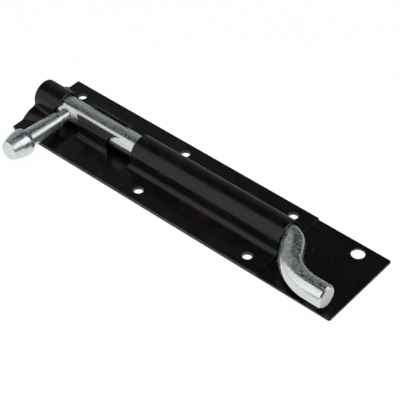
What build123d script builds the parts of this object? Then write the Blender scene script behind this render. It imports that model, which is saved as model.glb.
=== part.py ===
from build123d import *
from math import cos, radians, sin, sqrt
import os

# Cranked barrel bolt, lying on the back of its base plate.
# The origin is the centre of the plate's back face. +X runs towards the shooting end of the bar, the
# handle lies on the -Y side and +Z points away from the door. All sizes are in millimetres.

# Base plate
plate_length = 203.0
plate_width = 48.4
plate_thickness = 1.0
plate_corner_radius = 1.2
plate_edge_chamfer = 0.2

# Screw holes: places (x) from the plate's left end, and insets from the mouth and from the right end
screw_hole_radius = 2.5
loop_hole_radius = 2.4
loop_hole_x = 10.6
loop_hole_spacing = 32.8
middle_hole_x = 81.2
mouth_hole_inset = 10.5
barrel_hole_spacing = 35.2
end_hole_radius = 3.5
end_hole_inset = 14.8
end_hole_spacing = 35.8

# Round bar and the tunnel that it slides and turns in
bar_radius = 6.0
bar_lift = 1.7
bar_left_end = 3.0
bar_left_chamfer = 0.8
tunnel_clearance = 0.9

# Cover sheet, and the radii of its foot from the flange up to the barrel's wall
sheet_thickness = 0.9
foot_toe_radius = 4.1
foot_middle_radius = 3.7
foot_root_radius = 3.3
bare_plate_length = 42.5

# Skirt where the sheet spreads at the left end
skirt_half_width = 17.9
skirt_toe_radius = 1.5
skirt_toe_angle = 42.0
skirt_root_radius = 1.6
skirt_root_angle = 5.0
skirt_length = 28.0
skirt_stations = 5

# Travel slot in the top of the cover, between the loop and the barrel
slot_left = 16.2
slot_right = 67.2
slot_half_angle = 46.0

# Rounded notches at both ends of the slot, pierced at a slant through both flanks
notch_slant = 34.0
left_notch_x = 22.7
left_notch_half_length = 8.9
left_notch_half_height = 8.2
left_notch_level = 2.25
left_notch_shoulder_angle = 64.0
right_notch_x = 58.8
right_notch_half_length = 8.5
right_notch_half_height = 7.6
right_notch_level = 1.23
right_notch_shoulder_angle = 100.0

# Crank of the bar beyond the barrel's mouth, with the crease that its forging left between the bends
rest_tilt = 3.5
crank_angle = 59.2
crank_offset = 20.9
crease_angle = 15.0
crease_lead = 0.8
first_bend_radius = 9.0
second_bend_radius = 24.8
mouth_clearance = 0.2
shoot_length = 9.1
shoot_chamfer = 1.0

# Turned handle: its place from the plate's left end, and its distances from the bar's axis as far as
# the shank's end
handle_x = 20.6
spigot_depth = 3.0
socket_relief = 0.3
socket_relief_start = 4.9
neck_radius = 3.3
neck_end = 11.3
shank_start_radius = 4.25
shank_step = 0.7
shank_end = 32.9
shank_end_radius = 4.85

# Head of the handle, with each distance measured from the one before, starting at the shank's end
head_shoulder = 1.6
head_shoulder_radius = 6.6
head_crown = 1.9
head_crown_radius = 7.1
head_crown_rounding = 3.0
head_front = 4.6
head_front_radius = 6.55
handle_end = 5.0
handle_face_radius = 5.0
handle_face_chamfer = 0.3

# Derived places
plate_left = -plate_length / 2
mouth_x = plate_length / 2 - bare_plate_length
flange_bottom = plate_thickness
flange_top = plate_thickness + sheet_thickness
axis_height = plate_thickness + bar_lift + bar_radius
tunnel_radius = bar_radius + tunnel_clearance
barrel_radius = tunnel_radius + sheet_thickness
cutter_reach = 2 * plate_width

loop_holes = [(plate_left + loop_hole_x, side * loop_hole_spacing / 2) for side in (-1, 1)]
barrel_holes = [
    (x, side * barrel_hole_spacing / 2)
    for x in (plate_left + middle_hole_x, mouth_x - mouth_hole_inset)
    for side in (-1, 1)
]
end_holes = [(plate_length / 2 - end_hole_inset, side * end_hole_spacing / 2) for side in (-1, 1)]

# Plane of the crank and the handle, with its x along the bar and its y along the handle
tilt_cos = cos(radians(rest_tilt))
tilt_sin = sin(radians(rest_tilt))
crank_plane = Plane(
    origin=(plate_left, 0, axis_height),
    x_dir=(1, 0, 0),
    z_dir=(0, -tilt_sin, -tilt_cos),
)
handle_plane = Plane(
    origin=(plate_left + handle_x, 0, axis_height),
    x_dir=crank_plane.x_dir,
    z_dir=crank_plane.z_dir,
)
socket_plane = Plane(origin=handle_plane.origin, z_dir=handle_plane.y_dir)


def screw_holes(places, radius):
    """Circles for one group of screw holes, in the sketch that is open."""
    with Locations(*places):
        Circle(radius)


def foot_points(arcs, depth):
    """Ends and middles of a foot's tangent arcs, from the flange inwards and up to the barrel's wall.

    Each arc is (radius, slope at its start, slope at its end), hollow above when its radius is positive.
    The depth is measured down from the sheet's upper face.
    """
    width = sum(
        radius * (sin(radians(last)) - sin(radians(first)))
        for radius, first, last in arcs
    )
    y, z = barrel_radius + width, flange_top - depth
    points = [(y, z)]
    for radius, first, last in arcs:
        middle = (first + last) / 2
        for a, b in ((first, middle), (middle, last)):
            y -= (radius + depth) * (sin(radians(b)) - sin(radians(a)))
            z -= (radius + depth) * (cos(radians(b)) - cos(radians(a)))
            points.append((y, z))
    return points


def foot(flare, depth):
    """The foot's points for a share of the skirt's full spread."""
    toe_sin = sin(radians(skirt_toe_angle))
    root_sin = sin(radians(skirt_root_angle))
    toe_width = skirt_toe_radius * toe_sin
    root_width = skirt_root_radius * (1 - root_sin)
    crown_width = skirt_half_width - barrel_radius - toe_width - root_width
    crown_radius = crown_width / (toe_sin - root_sin)
    plain_arcs = [
        (foot_toe_radius, 0, 30),
        (foot_middle_radius, 30, 60),
        (foot_root_radius, 60, 90),
    ]
    skirt_arcs = [
        (skirt_toe_radius, 0, skirt_toe_angle),
        (-crown_radius, skirt_toe_angle, skirt_root_angle),
        (skirt_root_radius, skirt_root_angle, 90),
    ]
    plain = foot_points(plain_arcs, depth)
    skirt = foot_points(skirt_arcs, depth)
    return [
        (y + flare * (skirt_y - y), z + flare * (skirt_z - z))
        for (y, z), (skirt_y, skirt_z) in zip(plain, skirt)
    ]


def hat_section(flare):
    """The sheet's section, from the plain barrel (flare 0) to the spread left end (flare 1)."""
    with BuildSketch() as section:
        with BuildLine():
            for depth, radius in ((0, barrel_radius), (sheet_thickness, tunnel_radius)):
                points = foot(flare, depth)
                Line((plate_width / 2, flange_top - depth), points[0])
                for first in (0, 2, 4):
                    ThreePointArc(*points[first:first + 3])
                Line(points[-1], (radius, axis_height))
                CenterArc((0, axis_height), radius, 0, 90)
            Line((plate_width / 2, flange_top), (plate_width / 2, flange_bottom))
            mirror(about=Plane.YZ)
        make_face()
    return section.sketch


def slot_wedge(half_angle):
    """A wedge that opens upwards from the tunnel's axis, in the sketch that is open."""
    across = cutter_reach * sin(radians(half_angle))
    up = axis_height + cutter_reach * cos(radians(half_angle))
    top = axis_height + cutter_reach
    Polygon(
        (0, axis_height),
        (across, up),
        (across, top),
        (-across, top),
        (-across, up),
        align=None,
    )


# Base plate: flat strip with rounded corners and eight screw holes
with BuildPart() as base_plate:
    with BuildSketch():
        RectangleRounded(plate_length, plate_width, plate_corner_radius)
    extrude(amount=plate_thickness)
    chamfer(base_plate.faces().sort_by(Axis.Z)[-1].edges(), plate_edge_chamfer)
    with BuildSketch():
        screw_holes(loop_holes, loop_hole_radius)
        screw_holes(barrel_holes, screw_hole_radius)
        screw_holes(end_holes, end_hole_radius)
    extrude(amount=plate_thickness, mode=Mode.SUBTRACT)

# Barrel cover: one pressed sheet, lofted from the spread skirt into the plain hat section
with BuildPart() as barrel_cover:
    for station in range(skirt_stations):
        along = station / (skirt_stations - 1)
        with BuildSketch(Plane.YZ.offset(plate_left + skirt_length * along)):
            add(hat_section((1 - along) ** 2))
    loft()
    with BuildSketch(Plane.YZ.offset(plate_left + skirt_length)):
        add(hat_section(0))
    extrude(amount=mouth_x - plate_left - skirt_length)
    # Travel slot and its shoulders at the loop and at the barrel
    for left, right, half_angle in (
        (slot_left, slot_right, slot_half_angle),
        (slot_left, left_notch_x, left_notch_shoulder_angle),
        (right_notch_x, slot_right, right_notch_shoulder_angle),
    ):
        with BuildSketch(Plane.YZ.offset(plate_left + left)):
            slot_wedge(half_angle)
        extrude(amount=right - left, mode=Mode.SUBTRACT)
    # Slanted notches through both flanks
    slant_cos = cos(radians(notch_slant))
    slant_sin = sin(radians(notch_slant))
    for x, half_length, half_height, level in (
        (left_notch_x, left_notch_half_length, left_notch_half_height, left_notch_level),
        (right_notch_x, right_notch_half_length, right_notch_half_height, right_notch_level),
    ):
        for side in (-1, 1):
            punch_plane = Plane(
                origin=(plate_left + x, side, (level + slant_sin) / slant_cos),
                x_dir=(1, 0, 0),
                z_dir=(0, side * slant_cos, slant_sin),
            )
            with BuildSketch(punch_plane):
                Ellipse(half_length, half_height)
            extrude(amount=cutter_reach, mode=Mode.SUBTRACT)
    with BuildSketch():
        screw_holes(loop_holes, loop_hole_radius)
        screw_holes(barrel_holes, screw_hole_radius)
    extrude(amount=axis_height, mode=Mode.SUBTRACT)

# Bolt rod: round bar, straight in the tunnel and bent twice beyond the barrel's mouth
second_angle = crank_angle - crease_angle
crank_run = (
    crank_offset
    - first_bend_radius * (1 - cos(radians(crank_angle)))
    - second_bend_radius * (1 - cos(radians(second_angle)))
    - crease_lead * sin(radians(second_angle))
) / sin(radians(crank_angle))
bend_inside = first_bend_radius - bar_radius
bend_drop = max(0, first_bend_radius - tunnel_radius + mouth_clearance)
bend_start = mouth_x - plate_left - sqrt(bend_inside**2 - bend_drop**2)

with BuildPart() as bolt_rod:
    with BuildLine(crank_plane) as bar_path:
        straight = Line((bar_left_end, 0), (bend_start, 0))
        first_bend = JernArc(straight @ 1, straight % 1, first_bend_radius, crank_angle)
        run = PolarLine(first_bend @ 1, crank_run, crank_angle)
        lead = PolarLine(run @ 1, crease_lead, second_angle)
        second_bend = JernArc(lead @ 1, lead % 1, second_bend_radius, -second_angle)
        Line(second_bend @ 1, (second_bend @ 1) + (second_bend % 1) * shoot_length)
    with BuildSketch(Plane(origin=bar_path.line @ 0, z_dir=bar_path.line % 0)):
        Circle(bar_radius)
    sweep(transition=Transition.RIGHT)
    chamfer(bolt_rod.faces().sort_by(Axis.X)[0].edges(), bar_left_chamfer)
    chamfer(bolt_rod.faces().sort_by(Axis.X)[-1].edges(), shoot_chamfer)

    with BuildSketch(socket_plane.offset(-spigot_depth)):
        Circle(neck_radius)
    extrude(amount=spigot_depth + 2 * bar_radius, mode=Mode.SUBTRACT)
    with BuildSketch(socket_plane.offset(socket_relief_start)):
        Circle(neck_radius + socket_relief)
    extrude(amount=bar_radius, mode=Mode.SUBTRACT)

# Handle pin: one turned piece with a spigot, a thin neck, a tapering shank and a bulging head that
# falls steeply to the shank and gently to its flat end
shoulder_place = shank_end + head_shoulder
crown_place = shoulder_place + head_crown
front_place = crown_place + head_front
end_place = front_place + handle_end

with BuildPart() as handle_pin:
    with BuildSketch(handle_plane) as handle_profile:
        Polygon(
            (0, -spigot_depth),
            (neck_radius, -spigot_depth),
            (neck_radius, neck_end),
            (shank_start_radius, neck_end + shank_step),
            (shank_end_radius, shank_end),
            (head_shoulder_radius, shoulder_place),
            (head_crown_radius, crown_place),
            (head_front_radius, front_place),
            (handle_face_radius, end_place - handle_face_chamfer),
            (handle_face_radius - handle_face_chamfer, end_place),
            (0, end_place),
            align=None,
        )
        corners = handle_profile.vertices().sort_by_distance((head_crown_radius, crown_place))
        fillet(corners[0], head_crown_rounding)
    revolve(axis=Axis(handle_plane.origin, handle_plane.y_dir))

base_plate.part.label = "base_plate"
barrel_cover.part.label = "barrel_cover"
bolt_rod.part.label = "bolt_rod"
handle_pin.part.label = "handle_pin"

os.makedirs("parts", exist_ok=True)
export_step(base_plate.part, "parts/base_plate.step")
export_step(barrel_cover.part, "parts/barrel_cover.step")
export_step(bolt_rod.part, "parts/bolt_rod.step")
export_step(handle_pin.part, "parts/handle_pin.step")
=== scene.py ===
import math

import bpy
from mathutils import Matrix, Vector


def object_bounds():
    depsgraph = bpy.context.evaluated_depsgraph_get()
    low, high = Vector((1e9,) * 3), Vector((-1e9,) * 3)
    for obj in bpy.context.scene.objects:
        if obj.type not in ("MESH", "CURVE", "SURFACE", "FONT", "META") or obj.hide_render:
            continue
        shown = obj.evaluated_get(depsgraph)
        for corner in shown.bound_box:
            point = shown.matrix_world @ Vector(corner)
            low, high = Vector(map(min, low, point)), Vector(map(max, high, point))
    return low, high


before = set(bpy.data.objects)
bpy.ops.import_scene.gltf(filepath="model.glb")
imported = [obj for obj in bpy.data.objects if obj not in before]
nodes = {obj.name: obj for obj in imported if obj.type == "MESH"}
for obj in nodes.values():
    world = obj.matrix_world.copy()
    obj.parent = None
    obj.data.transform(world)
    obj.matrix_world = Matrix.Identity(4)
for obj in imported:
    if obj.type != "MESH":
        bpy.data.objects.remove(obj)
cad_low, cad_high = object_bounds()

# Camera, fitted to the plate's outline and holes in the photograph, in metres
CAMERA_AIM = Vector((0.00596, -0.00187, 0.0))
CAMERA_DISTANCE = 0.7039
CAMERA_AZIMUTH = 40.50
CAMERA_ELEVATION = 43.83
SENSOR_WIDTH = 36.0
FOCAL_PIXELS = 1439.75
PHOTO_PIXELS = 400

# Studio: how bright each part of it is to the camera and in reflections
FLOOR_SIZE = 6.0
FLOOR_GAP = 0.0002
FLOOR_COLOUR = (0.90, 0.90, 0.90, 1)
FLOOR_CAMERA_SHARE = 0.975
FLOOR_MIRROR_SHARE = 0.85
FLOOR_FRONT_LEVEL = 0.92
FLOOR_BACK_LEVEL = 0.15
FLOOR_FADE_DEPTH = 0.06
BACKDROP_WHITE = 1.0
ROOM_TINT = (0.89, 0.99, 1.0, 1)
ROOM_PALE_SIDE = (-110, -5)
ROOM_PALE_SPREAD = (0.40, 0.75)
ROOM_PALE_LEVEL = 0.25
ROOM_DIM_LEVEL = 0.012

# Soft boxes: azimuth, elevation, distance, corners in its plane, levels at its left and right
FRONT_CORNERS = [(-0.11, -0.12), (0.06, 0.13), (0.24, 0.06), (0.24, -0.20), (-0.11, -0.20)]
FRONT_PANEL = (-50, 50, 0.2, FRONT_CORNERS, 0.72, 1.18)
BACK_CORNERS = [(-0.42, 0.02), (0.56, -0.38), (0.34, 0.34), (-0.17, 0.45)]
BACK_PANEL = (105, 40, 0.6, BACK_CORNERS, 1.35, 1.35)

# Overhead lamp
TOP_LIGHT_POWER = 14.0
TOP_LIGHT_SIZE = 1.6
TOP_LIGHT_HEIGHT = 1.5

MM = 0.001

# Black paint: colours, how brown each piece is, gloss, and the scales of its marks in cycles per metre
PAINT_BLACK = (0.0026, 0.0023, 0.0022, 1)
PAINT_BROWN = (0.0180, 0.0100, 0.0080, 1)
# Lighter colour for the paint's edges: partly wear, partly a painted highlight standing in for light
# caught by rounded edges
PAINT_EDGE_WEAR_AND_HIGHLIGHT = (0.22, 0.21, 0.20, 1)
PAINT_DUST = (0.10, 0.10, 0.10, 1)
PLATE_BROWN_SHARE = 0.1
COVER_BROWN_SHARE = 0.4
PAINT_IOR = 1.43
PAINT_ROUGHNESS = (0.22, 0.32)
HAZE_SCALE = 55.0
TINT_SCALE = 90.0
DUST_SCALE = 420.0
DUST_PATCH_SCALE = 600.0
EDGE_PATCH_SCALE = 250.0
EDGE_RADIUS = 0.18 * MM
# How strongly the lighter edge colour is laid on: partly wear, partly painted highlight
EDGE_WEAR_AND_HIGHLIGHT_SHARE = 0.85
PEEL_SCALE = 800.0
PEEL_STRENGTH = 0.10

# Zinc: colours, roughness from clear to hazy, and the stretch of its marks along the bar or the handle
ROD_PALE = (0.80, 0.815, 0.82, 1)
ROD_GREY = (0.68, 0.705, 0.71, 1)
ROD_HAZE = (0.16, 0.23)
ROD_GRAIN = (0.05, 1, 1)
HANDLE_PALE = (0.77, 0.815, 0.825, 1)
HANDLE_GREY = (0.66, 0.71, 0.72, 1)
HANDLE_HAZE = (0.25, 0.31)
HANDLE_GRAIN = (1, 0.08, 1)
STREAK_SCALE = 1500.0
STREAK_SHARE = 0.45
MOTTLE_SCALE = 900.0
MOTTLE_SHARE = 0.55
PATCH_SCALE = 120.0
WORN_METALLIC_DROP = 0.18
ZINC_BUMP = 0.32
BUMP_DEPTH = 0.02 * MM

# Sawn end of the bar: how far before the end it starts and is full, and how matt it is
SAWN_START = 0.3 * MM
SAWN_FULL = 0.1 * MM
SAWN_METALLIC_DROP = 0.70
SAWN_ROUGHNESS = 0.45


def direction(azimuth, elevation):
    """Unit vector towards a viewer; azimuth 0 is the -Y side and 90 the +X side."""
    a, e = math.radians(azimuth), math.radians(elevation)
    return Vector((math.sin(a) * math.cos(e), -math.cos(a) * math.cos(e), math.sin(e)))


class Tree:
    """A short way to add nodes to a material or a world and wire them."""

    def __init__(self, owner):
        owner.use_nodes = True
        self.tree = owner.node_tree
        self.tree.nodes.clear()

    def add(self, kind, settings=None, **inputs):
        made = self.tree.nodes.new(kind)
        for key, value in (settings or {}).items():
            setattr(made, key, value)
        for key, value in inputs.items():
            self.feed(made, key.replace("_", " "), value)
        return made

    def feed(self, made, key, value):
        socket = made.inputs[int(key)] if key.isdigit() else made.inputs[key]
        if isinstance(value, bpy.types.NodeSocket):
            self.tree.links.new(value, socket)
        else:
            socket.default_value = value

    def math(self, operation, a, b):
        made = self.add("ShaderNodeMath", {"operation": operation})
        self.feed(made, "0", a)
        self.feed(made, "1", b)
        return made.outputs[0]

    def dot(self, a, b):
        made = self.add("ShaderNodeVectorMath", {"operation": "DOT_PRODUCT"})
        self.feed(made, "0", a)
        self.feed(made, "1", b)
        return made.outputs["Value"]

    def smooth(self, value, low, high, to_low=0.0, to_high=1.0):
        made = self.add("ShaderNodeMapRange", {"interpolation_type": "SMOOTHSTEP"})
        for key, number in zip("01234", (value, low, high, to_low, to_high)):
            self.feed(made, key, number)
        return made.outputs[0]

    def mix(self, share, a, b):
        made = self.add("ShaderNodeMix", {"data_type": "RGBA"})
        self.feed(made, "0", share)
        self.feed(made, "6", a)
        self.feed(made, "7", b)
        return made.outputs[2]

    def noise(self, vector, scale, detail, roughness=0.5):
        made = self.add("ShaderNodeTexNoise", Scale=scale, Detail=detail, Roughness=roughness)
        self.feed(made, "Vector", vector)
        return made.outputs["Fac"]

    def stretched(self, vector, scale):
        made = self.add("ShaderNodeMapping")
        self.feed(made, "Vector", vector)
        self.feed(made, "Scale", scale)
        return made.outputs["Vector"]

    def bump(self, height, strength, distance):
        made = self.add("ShaderNodeBump", Strength=strength, Distance=distance)
        self.feed(made, "Height", height)
        return made.outputs["Normal"]


def black_paint(name, brown_share):
    """Thin glossy black stove paint with fine orange peel, soft haze, a few dust specks, and lighter
    edges that are partly wear and partly a painted highlight.
    """
    material = bpy.data.materials.new(name)
    t = Tree(material)
    place = t.add("ShaderNodeTexCoord").outputs["Object"]
    haze = t.noise(place, HAZE_SCALE, 3.0)
    tint = t.smooth(t.noise(place, TINT_SCALE, 2.0), 0.45, 0.75, 0.0, brown_share)
    colour = t.mix(tint, PAINT_BLACK, PAINT_BROWN)
    cells = t.add("ShaderNodeTexVoronoi", {"feature": "F1"}, Scale=DUST_SCALE)
    t.feed(cells, "Vector", place)
    dust = t.math(
        "MULTIPLY",
        t.smooth(cells.outputs["Distance"], 0.05, 0.14, 1.0, 0.0),
        t.smooth(t.noise(place, DUST_PATCH_SCALE, 1.0), 0.56, 0.62),
    )
    colour = t.mix(dust, colour, PAINT_DUST)
    # Edges found by the Bevel node get a lighter colour in patches: partly wear, partly a painted
    # highlight where rounded edges would catch light
    rounded = t.add("ShaderNodeBevel", {"samples": 4}, Radius=EDGE_RADIUS)
    turn = t.dot(rounded.outputs[0], t.add("ShaderNodeNewGeometry").outputs["Normal"])
    edge_wear_and_highlight = t.math(
        "MULTIPLY",
        t.smooth(turn, 0.90, 0.99, EDGE_WEAR_AND_HIGHLIGHT_SHARE, 0.0),
        t.smooth(t.noise(place, EDGE_PATCH_SCALE, 2.0), 0.40, 0.60),
    )
    colour = t.mix(edge_wear_and_highlight, colour, PAINT_EDGE_WEAR_AND_HIGHLIGHT)
    peel = t.bump(t.noise(place, PEEL_SCALE, 2.0), PEEL_STRENGTH, BUMP_DEPTH)
    shader = t.add("ShaderNodeBsdfPrincipled", Metallic=0.0, IOR=PAINT_IOR)
    t.feed(shader, "Base Color", colour)
    t.feed(shader, "Roughness", t.smooth(haze, 0.3, 0.7, *PAINT_ROUGHNESS))
    t.feed(shader, "Normal", peel)
    out = t.add("ShaderNodeOutputMaterial")
    t.feed(out, "Surface", shader.outputs[0])
    return material


def zinc(name, pale, grey, haze, grain, sawn_end=None):
    """Zinc plate over drawn or turned steel, a little hazy, with marks stretched by grain.

    The face at sawn_end, a place along the bar, is matt from the saw.
    """
    material = bpy.data.materials.new(name)
    t = Tree(material)
    place = t.add("ShaderNodeTexCoord").outputs["Object"]
    streaks = t.noise(t.stretched(place, grain), STREAK_SCALE, 3.0)
    mottle = t.noise(place, MOTTLE_SCALE, 3.0, 0.65)
    patches = t.noise(place, PATCH_SCALE, 2.0)
    marks = t.math(
        "ADD",
        t.math("MULTIPLY", streaks, STREAK_SHARE),
        t.math("MULTIPLY", mottle, MOTTLE_SHARE),
    )
    worn = t.smooth(marks, 0.41, 0.59)
    metallic = t.math("SUBTRACT", 1.0, t.math("MULTIPLY", worn, WORN_METALLIC_DROP))
    roughness = t.smooth(patches, 0.3, 0.7, *haze)
    if sawn_end is not None:
        along = t.dot(place, Vector((1, 0, 0)))
        sawn = t.smooth(along, sawn_end - SAWN_START, sawn_end - SAWN_FULL)
        metallic = t.math("SUBTRACT", metallic, t.math("MULTIPLY", sawn, SAWN_METALLIC_DROP))
        roughness = t.math("MAXIMUM", roughness, t.math("MULTIPLY", sawn, SAWN_ROUGHNESS))
    shader = t.add("ShaderNodeBsdfPrincipled")
    t.feed(shader, "Base Color", t.mix(worn, grey, pale))
    t.feed(shader, "Metallic", metallic)
    t.feed(shader, "Roughness", roughness)
    t.feed(shader, "Normal", t.bump(marks, ZINC_BUMP, BUMP_DEPTH))
    out = t.add("ShaderNodeOutputMaterial")
    t.feed(out, "Surface", shader.outputs[0])
    return material


def dress(node, material):
    """Gives a CAD node one material."""
    piece = nodes[node]
    for place in range(len(piece.material_slots)):
        piece.material_slots[place].material = material
    if not piece.material_slots:
        piece.data.materials.append(material)


def make_floor():
    """A wide pale floor that keeps the shadow, white to the camera and seen through from below."""
    half = FLOOR_SIZE / 2
    mesh = bpy.data.meshes.new("floor")
    corners = [(-half, -half), (half, -half), (half, half), (-half, half)]
    mesh.from_pydata([(x, y, cad_low.z - FLOOR_GAP) for x, y in corners], [], [(0, 1, 2, 3)])
    floor = bpy.data.objects.new("floor", mesh)
    bpy.context.scene.collection.objects.link(floor)
    material = bpy.data.materials.new("floor")
    t = Tree(material)
    path = t.add("ShaderNodeLightPath")
    camera = path.outputs["Is Camera Ray"]
    seen = t.math(
        "MAXIMUM",
        t.math("MULTIPLY", camera, FLOOR_CAMERA_SHARE),
        t.math("MULTIPLY", path.outputs["Is Glossy Ray"], FLOOR_MIRROR_SHARE),
    )
    depth = t.dot(t.add("ShaderNodeTexCoord").outputs["Object"], Vector((0, 1, 0)))
    mirrored = t.smooth(depth, 0.0, FLOOR_FADE_DEPTH, FLOOR_FRONT_LEVEL, FLOOR_BACK_LEVEL)
    matt = t.add("ShaderNodeBsdfDiffuse", Color=FLOOR_COLOUR)
    glow = t.add("ShaderNodeEmission")
    t.feed(glow, "Strength", t.math("MAXIMUM", camera, mirrored))
    white = t.add("ShaderNodeMixShader")
    t.feed(white, "0", seen)
    t.feed(white, "1", matt.outputs[0])
    t.feed(white, "2", glow.outputs[0])
    clear = t.add("ShaderNodeBsdfTransparent")
    sided = t.add("ShaderNodeMixShader")
    t.feed(sided, "0", t.add("ShaderNodeNewGeometry").outputs["Backfacing"])
    t.feed(sided, "1", white.outputs[0])
    t.feed(sided, "2", clear.outputs[0])
    out = t.add("ShaderNodeOutputMaterial")
    t.feed(out, "Surface", sided.outputs[0])
    mesh.materials.append(material)


def make_panel(name, azimuth, elevation, distance, corners, left_level, right_level):
    """A flat glowing soft box that the camera can't see; corners are metres across and up its plane."""
    centre = direction(azimuth, elevation)
    side = direction(azimuth + 90, 0)
    up = centre.cross(side)
    mesh = bpy.data.meshes.new(name)
    points = [centre * distance + side * across + up * above for across, above in corners]
    mesh.from_pydata(points, [], [tuple(range(len(points)))])
    material = bpy.data.materials.new(name)
    t = Tree(material)
    across = t.dot(t.add("ShaderNodeTexCoord").outputs["Object"], side)
    reach = [corner[0] for corner in corners]
    glow = t.add("ShaderNodeEmission")
    t.feed(glow, "Strength", t.smooth(across, min(reach), max(reach), left_level, right_level))
    out = t.add("ShaderNodeOutputMaterial")
    t.feed(out, "Surface", glow.outputs[0])
    mesh.materials.append(material)
    panel = bpy.data.objects.new(name, mesh)
    bpy.context.scene.collection.objects.link(panel)
    panel.visible_camera = False
    panel.visible_shadow = False


def make_world():
    """White to the camera; in light and reflections a dim room that is paler on one side."""
    world = bpy.data.worlds.new("studio")
    bpy.context.scene.world = world
    t = Tree(world)
    path = t.add("ShaderNodeLightPath")
    towards = t.add("ShaderNodeTexCoord").outputs["Generated"]
    pale = t.dot(towards, direction(*ROOM_PALE_SIDE))
    room = t.add("ShaderNodeBackground", Color=ROOM_TINT)
    level = t.smooth(pale, *ROOM_PALE_SPREAD, ROOM_DIM_LEVEL, ROOM_PALE_LEVEL)
    t.feed(room, "Strength", level)
    white = t.add("ShaderNodeBackground", Strength=BACKDROP_WHITE)
    seen = t.add("ShaderNodeMixShader")
    t.feed(seen, "0", path.outputs["Is Camera Ray"])
    t.feed(seen, "1", room.outputs[0])
    t.feed(seen, "2", white.outputs[0])
    out = t.add("ShaderNodeOutputWorld")
    t.feed(out, "Surface", seen.outputs[0])


def make_top_light():
    """A broad overhead lamp that lights the floor and leaves no reflection of its own."""
    data = bpy.data.lights.new("top_light", "AREA")
    data.shape = "SQUARE"
    data.size = TOP_LIGHT_SIZE
    data.energy = TOP_LIGHT_POWER
    lamp = bpy.data.objects.new("top_light", data)
    lamp.location = (0, 0, TOP_LIGHT_HEIGHT)
    lamp.visible_glossy = False
    bpy.context.scene.collection.objects.link(lamp)


def make_camera():
    data = bpy.data.cameras.new("camera")
    data.sensor_width = SENSOR_WIDTH
    data.lens = FOCAL_PIXELS / PHOTO_PIXELS * SENSOR_WIDTH
    data.clip_start = 0.01
    camera = bpy.data.objects.new("camera", data)
    back = direction(CAMERA_AZIMUTH, CAMERA_ELEVATION)
    camera.location = CAMERA_AIM + back * CAMERA_DISTANCE
    camera.rotation_mode = "QUATERNION"
    camera.rotation_quaternion = (-back).to_track_quat("-Z", "Y")
    bpy.context.scene.collection.objects.link(camera)
    bpy.context.scene.camera = camera


dress("base_plate", black_paint("black_plate", PLATE_BROWN_SHARE))
dress("barrel_cover", black_paint("black_cover", COVER_BROWN_SHARE))
shoot_end = max(corner[0] for corner in nodes["bolt_rod"].bound_box)
dress("bolt_rod", zinc("zinc_rod", ROD_PALE, ROD_GREY, ROD_HAZE, ROD_GRAIN, shoot_end))
dress("handle_pin", zinc("zinc_handle", HANDLE_PALE, HANDLE_GREY, HANDLE_HAZE, HANDLE_GRAIN))
make_floor()
make_world()
make_panel("front_panel", *FRONT_PANEL)
make_panel("back_panel", *BACK_PANEL)
make_top_light()
make_camera()
bpy.context.scene.view_settings.view_transform = "Standard"
